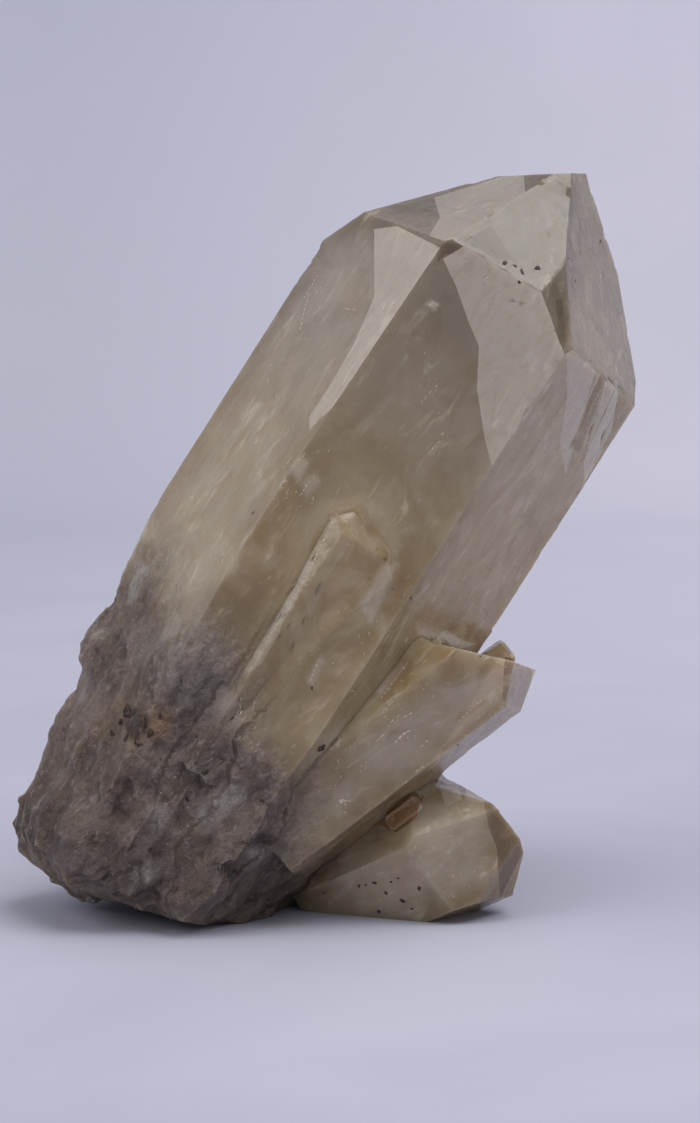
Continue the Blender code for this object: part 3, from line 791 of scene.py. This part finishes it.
class Net:
    """A material under construction."""

    def __init__(self, name):
        self.material = bpy.data.materials.new(name)
        self.material.use_nodes = True
        self.tree = self.material.node_tree
        self.shader = self.tree.nodes["Principled BSDF"]
        self.output = self.tree.nodes["Material Output"]

    def set(self, node, key, value):
        socket = node.inputs[key]
        if isinstance(value, bpy.types.NodeSocket):
            self.tree.links.new(value, socket)
        else:
            socket.default_value = value

    def add(self, kind, inputs=None, **settings):
        node = self.tree.nodes.new(kind)
        for key, value in settings.items():
            setattr(node, key, value)
        for key, value in (inputs or {}).items():
            self.set(node, key, value)
        return node

    def value(self, name):
        return self.add("ShaderNodeAttribute", attribute_name=name).outputs["Fac"]

    def vector(self, name):
        return self.add("ShaderNodeAttribute", attribute_name=name).outputs["Vector"]

    def place(self):
        return self.add("ShaderNodeTexCoord").outputs["Object"]

    def stretch(self, vector, scale, shift=(0.0, 0.0, 0.0)):
        return self.add("ShaderNodeMapping",
                        {"Vector": vector, "Scale": scale, "Location": shift}).outputs["Vector"]

    def noise(self, vector, scale, detail=3.0, rough=0.5, twist=0.0):
        inputs = {"Vector": vector, "Scale": scale, "Detail": detail, "Roughness": rough,
                  "Distortion": twist}
        return self.add("ShaderNodeTexNoise", inputs).outputs["Fac"]

    def span(self, value, low, high, to_low=0.0, to_high=1.0):
        inputs = {"Value": value, "From Min": low, "From Max": high,
                  "To Min": to_low, "To Max": to_high}
        return self.add("ShaderNodeMapRange", inputs, interpolation_type="SMOOTHSTEP").outputs[0]

    def math(self, operation, first, second, clamp=False):
        return self.add("ShaderNodeMath", {0: first, 1: second},
                        operation=operation, use_clamp=clamp).outputs[0]

    def blend(self, share, first, second):
        return self.add("ShaderNodeMix", {0: share, 6: first, 7: second},
                        data_type="RGBA").outputs[2]

    def over(self, shade, tones):
        """Lay tones over a shade: for each, where it shows, how strong and its colour."""
        for where, strength, tone in tones:
            shade = self.blend(self.math("MULTIPLY", where, strength), shade, colour(*tone))
        return shade

    def axis(self, vector, name):
        return self.add("ShaderNodeSeparateXYZ", {"Vector": vector}).outputs[name]

    def bump(self, height, strength, distance, normal=None):
        inputs = {"Height": height, "Strength": strength, "Distance": distance}
        if normal is not None:
            inputs["Normal"] = normal
        return self.add("ShaderNodeBump", inputs).outputs["Normal"]

    def finish(self, **values):
        for key, value in values.items():
            self.set(self.shader, key.replace("_", " "), value)
        return self.material


def colour(red, green, blue):
    """A colour given as it looks on a screen, 0 to 255."""
    def linear(value):
        value /= 255.0
        return value / 12.92 if value <= 0.04045 else ((value + 0.055) / 1.055) ** 2.4
    return (linear(red), linear(green), linear(blue), 1.0)


def crystal_material():
    net = Net("smoky_citrine")
    grain = net.vector("grain")
    root, edge, seam_shade = net.value("root"), net.value("edge"), net.value("seam_shade")
    milk, warm, clear = net.value("milk"), net.value("warm"), net.value("clear")
    dark = net.value("dark")

    clouds = net.noise(grain, 1.3, 4.0, 0.55, 0.6)
    wisps = net.noise(net.stretch(grain, (2.6, 2.6, 1.6)), 1.0, 3.0, 0.5, 1.0)
    streaks = net.noise(net.stretch(grain, (6.0, 6.0, 1.7)), 1.0, 4.0, 0.6, 0.9)
    flecks = net.noise(net.stretch(grain, (16.0, 16.0, 6.0)), 1.0, 3.0, 0.6)

    # Body: smoky brown, paler where it is milky and where sheens and light are painted, darker in
    # patches and where shade and dark reflections are painted.
    haze = net.value("haze")
    veil = net.math("MULTIPLY", net.span(streaks, 0.52, 0.72), net.span(clouds, 0.4, 0.6))
    torn = net.span(flecks, 0.34, 0.52, 0.7, 1.0)
    body = net.blend(net.span(clouds, 0.33, 0.67), colour(162, 139, 101), colour(190, 171, 138))
    body = net.blend(net.span(clear, 0.58, 0.70, 0.0, 0.65), body, colour(176, 167, 154))
    body = net.over(body, (
        (haze, 0.6, (184, 162, 134)),
        (veil, 0.35, (216, 204, 186)),
        (net.span(wisps, 0.52, 0.68), 0.3, (208, 196, 174)),
        (net.span(wisps, 0.46, 0.32), 0.3, (132, 108, 72)),
        (net.span(flecks, 0.66, 0.72), 0.5, (220, 212, 198)),
        (dark, 0.8, (124, 100, 72)),
        (milk, torn, (202, 194, 186)),
        (edge, 0.2, (206, 196, 180)),
    ))
    # Root: lilac grey and brown in long patches, with pale flecks, dark pits and painted shade
    # near the floor.
    patch = net.noise(net.stretch(grain, (3.2, 3.2, 1.8)), 1.0, 5.0, 0.68, 0.5)
    beige = net.noise(net.stretch(grain, (2.2, 2.2, 1.2), (4.0, 2.0, 7.0)), 1.0, 4.0, 0.6, 0.8)
    pale = net.noise(net.stretch(grain, (13.0, 13.0, 8.0)), 1.0, 4.0, 0.65, 0.3)
    pits = net.noise(net.stretch(grain, (19.0, 19.0, 13.0)), 1.0, 3.0, 0.6)
    low = net.axis(net.place(), "Z")
    stone = net.blend(net.span(patch, 0.36, 0.64), colour(97, 83, 76), colour(126, 112, 105))
    stone = net.over(stone, (
        (net.span(beige, 0.54, 0.68), 0.5, (122, 108, 94)),
        (net.span(pale, 0.55, 0.66), 0.6, (150, 142, 138)),
        (net.span(pits, 0.38, 0.28), 0.7, (52, 43, 41)),
        # Painted shade: darker towards the floor.
        (net.span(low, 0.024, 0.004), 0.25, (76, 62, 56)),
    ))
    # Both, then the painted shade in the seams, and the stains.
    shade = net.over(net.blend(root, body, stone), ((seam_shade, 0.3, (98, 74, 52)),))
    shade = net.blend(warm, shade, colour(158, 112, 70))
    ragged = net.span(pale, 0.35, 0.55, 0.35, 1.0)
    shade = net.over(shade, (
        (net.value("tan"), ragged, (140, 120, 100)),
        (net.value("pale"), ragged, (172, 167, 162)),
        (net.value("deep"), ragged, (56, 45, 44)),
    ))

    # Clear where it isn't milky and where no sheen is painted, clearest towards the point.
    glass = net.math("MULTIPLY", clear, net.span(milk, 0.0, 1.0, 1.0, 0.25))
    glass = net.math("MULTIPLY", glass, net.span(haze, 0.0, 1.0, 1.0, 0.2))
    glass = net.math("MULTIPLY", glass, net.span(root, 0.0, 0.9, 1.0, 0.22))
    glass = net.math("SUBTRACT", glass, net.math("MULTIPLY", veil, 0.2), clamp=True)
    rough = net.span(root, 0.0, 1.0, 0.16, 0.42)
    rough = net.math("ADD", rough, net.span(wisps, 0.35, 0.65, -0.05, 0.10))

    lines = net.noise(net.stretch(grain, (1.2, 1.2, 26.0)), 1.0, 3.0, 0.6)
    smooth_side = net.math("SUBTRACT", 1.0, root)
    growth = net.math("MULTIPLY", lines, smooth_side)
    relief = net.bump(growth, 0.08, 0.0003)
    broken_up = net.noise(net.stretch(grain, (14.0, 14.0, 9.0)), 1.0, 4.0, 0.68, 0.3)
    broken_up = net.math("MULTIPLY", broken_up, root)
    relief = net.bump(broken_up, 0.85, 0.0011, relief)
    dents = net.math("MULTIPLY", net.noise(grain, 7.0, 4.0, 0.62), smooth_side)
    relief = net.bump(dents, 0.22, 0.0006, relief)

    absorb = net.add("ShaderNodeVolumeAbsorption",
                     {"Color": ABSORBED, "Density": ABSORBED_DENSITY})
    net.tree.links.new(absorb.outputs["Volume"], net.output.inputs["Volume"])
    return net.finish(Base_Color=shade, Roughness=rough, Transmission_Weight=glass, IOR=QUARTZ_IOR,
                      Normal=relief, Subsurface_Weight=0.45, Subsurface_Radius=(1.0, 0.8, 0.55),
                      Subsurface_Scale=0.006, Specular_IOR_Level=0.38)


def speck_material():
    net = Net("iron_specks")
    tone = net.noise(net.place(), 2500.0, 3.0, 0.6)
    shade = net.blend(net.span(tone, 0.35, 0.65), colour(38, 28, 24), colour(82, 60, 46))
    return net.finish(Base_Color=shade, Roughness=0.7, Normal=net.bump(tone, 0.5, 0.0001))


def thin_material(name, dark, light, detail=3.0, rough=0.5, alpha=0.8):
    """Two tones in a fine pattern, partly see-through."""
    net = Net(name)
    tone = net.noise(net.place(), 1500.0, detail, 0.6)
    shade = net.blend(net.span(tone, 0.35, 0.65), colour(*dark), colour(*light))
    return net.finish(Base_Color=shade, Roughness=rough, Alpha=alpha)


# ---------------------------------------------------------------- floor, backdrop, light

# The sweep in metres: half its width, the flat part's rows from front to back, the bend's radius,
# angle and steps, and how far the backdrop leans and rises beyond it.
SWEEP_HALF, SWEEP_ROWS = 1.0, (-0.9, -0.3, -0.1, 0.05, 0.3, 0.42)
BEND_RADIUS, BEND_ANGLE, BEND_STEPS = 0.18, math.radians(86.0), 12
BACKDROP = (0.05, 0.7)
# The room's colour and strength, and where the lights point.
ROOM, ROOM_STRENGTH = (0.97, 0.965, 0.985, 1.0), 0.40
LIT_SPOT = (0.0, 0.0, 0.04)
# Area lights: name, place, width and height in metres, power and colour.
LIGHTS = (
    ("key", (0.26, -0.14, 0.70), (0.6, 0.6), 4.6, (1.0, 0.985, 0.97)),
    ("fill", (-0.42, -0.30, 0.42), (0.4, 0.4), 1.2, (1.0, 0.985, 0.96)),
)


def sweep():
    """A pale cloth: the floor, curving up into the backdrop."""
    profile = [(row, 0.0) for row in SWEEP_ROWS]
    for step in range(1, BEND_STEPS + 1):
        turn = step / BEND_STEPS * BEND_ANGLE
        profile.append((SWEEP_ROWS[-1] + BEND_RADIUS * math.sin(turn),
                        BEND_RADIUS * (1.0 - math.cos(turn))))
    last = profile[-1]
    profile.append((last[0] + BACKDROP[0], last[1] + BACKDROP[1]))
    bm = bmesh.new()
    rows = [[bm.verts.new((x, y, z)) for x in (-SWEEP_HALF, SWEEP_HALF)] for y, z in profile]
    for low, high in zip(rows, rows[1:]):
        bm.faces.new((low[0], low[1], high[1], high[0]))
    bm.normal_update()
    mesh = bpy.data.meshes.new("sweep")
    bm.to_mesh(mesh)
    bm.free()
    mesh.shade_smooth()
    thing = bpy.data.objects.new("sweep", mesh)
    bpy.context.scene.collection.objects.link(thing)
    net = Net("pale_cloth")
    place = net.place()
    weave = net.noise(place, 900.0, 2.0, 0.5)
    tone = net.noise(place, 16.0, 3.0, 0.5, 0.5)
    across, deep = net.axis(place, "X"), net.axis(place, "Y")
    # Painted light and shade: the cloth is lighter towards the right and darker towards the front.
    shade = net.blend(net.span(across, -0.09, 0.09), colour(194, 197, 213), colour(212, 211, 227))
    shade = net.blend(net.span(deep, 0.5, -0.05), shade, colour(172, 173, 192))
    shade = net.blend(net.span(tone, 0.3, 0.7, 0.0, 0.35), shade, colour(198, 199, 215))
    mesh.materials.append(net.finish(
        Base_Color=shade, Roughness=0.9, Specular_IOR_Level=0.2,
        Normal=net.bump(weave, 0.06, 0.0004)))


def area_light(name, position, size, power, tint):
    light = bpy.data.lights.new(name, "AREA")
    light.shape = "RECTANGLE"
    light.size, light.size_y = size
    light.energy = power
    light.color = tint
    thing = bpy.data.objects.new(name, light)
    thing.location = position
    towards = Vector(LIT_SPOT) - Vector(position)
    thing.rotation_euler = towards.to_track_quat("-Z", "Y").to_euler()
    bpy.context.scene.collection.objects.link(thing)


def surroundings():
    sweep()
    world = bpy.data.worlds.new("room")
    world.use_nodes = True
    back = world.node_tree.nodes["Background"]
    back.inputs["Color"].default_value = ROOM
    back.inputs["Strength"].default_value = ROOM_STRENGTH
    bpy.context.scene.world = world
    for light in LIGHTS:
        area_light(*light)
    bpy.context.scene.view_settings.view_transform = "Standard"


def camera():
    lens = bpy.data.cameras.new("camera")
    lens.lens = LENS
    lens.sensor_width = SENSOR
    lens.clip_start = 0.01
    thing = bpy.data.objects.new("camera", lens)
    thing.location = CAMERA_AT
    thing.rotation_euler = (math.pi / 2 - CAMERA_DOWN, 0.0, 0.0)
    bpy.context.scene.collection.objects.link(thing)
    bpy.context.scene.camera = thing


camera()
surroundings()
piece = crystal(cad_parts[NODE].data)
piece.data.materials.append(crystal_material())
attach(piece, "root")
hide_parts(NODE)
skin = sampler(piece)
add_piece(specks(skin), "iron_specks", speck_material())
add_piece(veils(skin), "inner_veils",
          thin_material("inner_veils", (224, 214, 196), (240, 234, 224), 4.0, 0.6, 0.4))
add_piece(strokes(skin, CRACKS, 0.5), "fine_cracks",
          thin_material("fine_cracks", (96, 78, 62), (120, 100, 82)))
add_piece(strokes(skin, list(GLINTS) + scattered(), 0.4), "glints",
          thin_material("glints", (204, 194, 176), (226, 218, 204)))
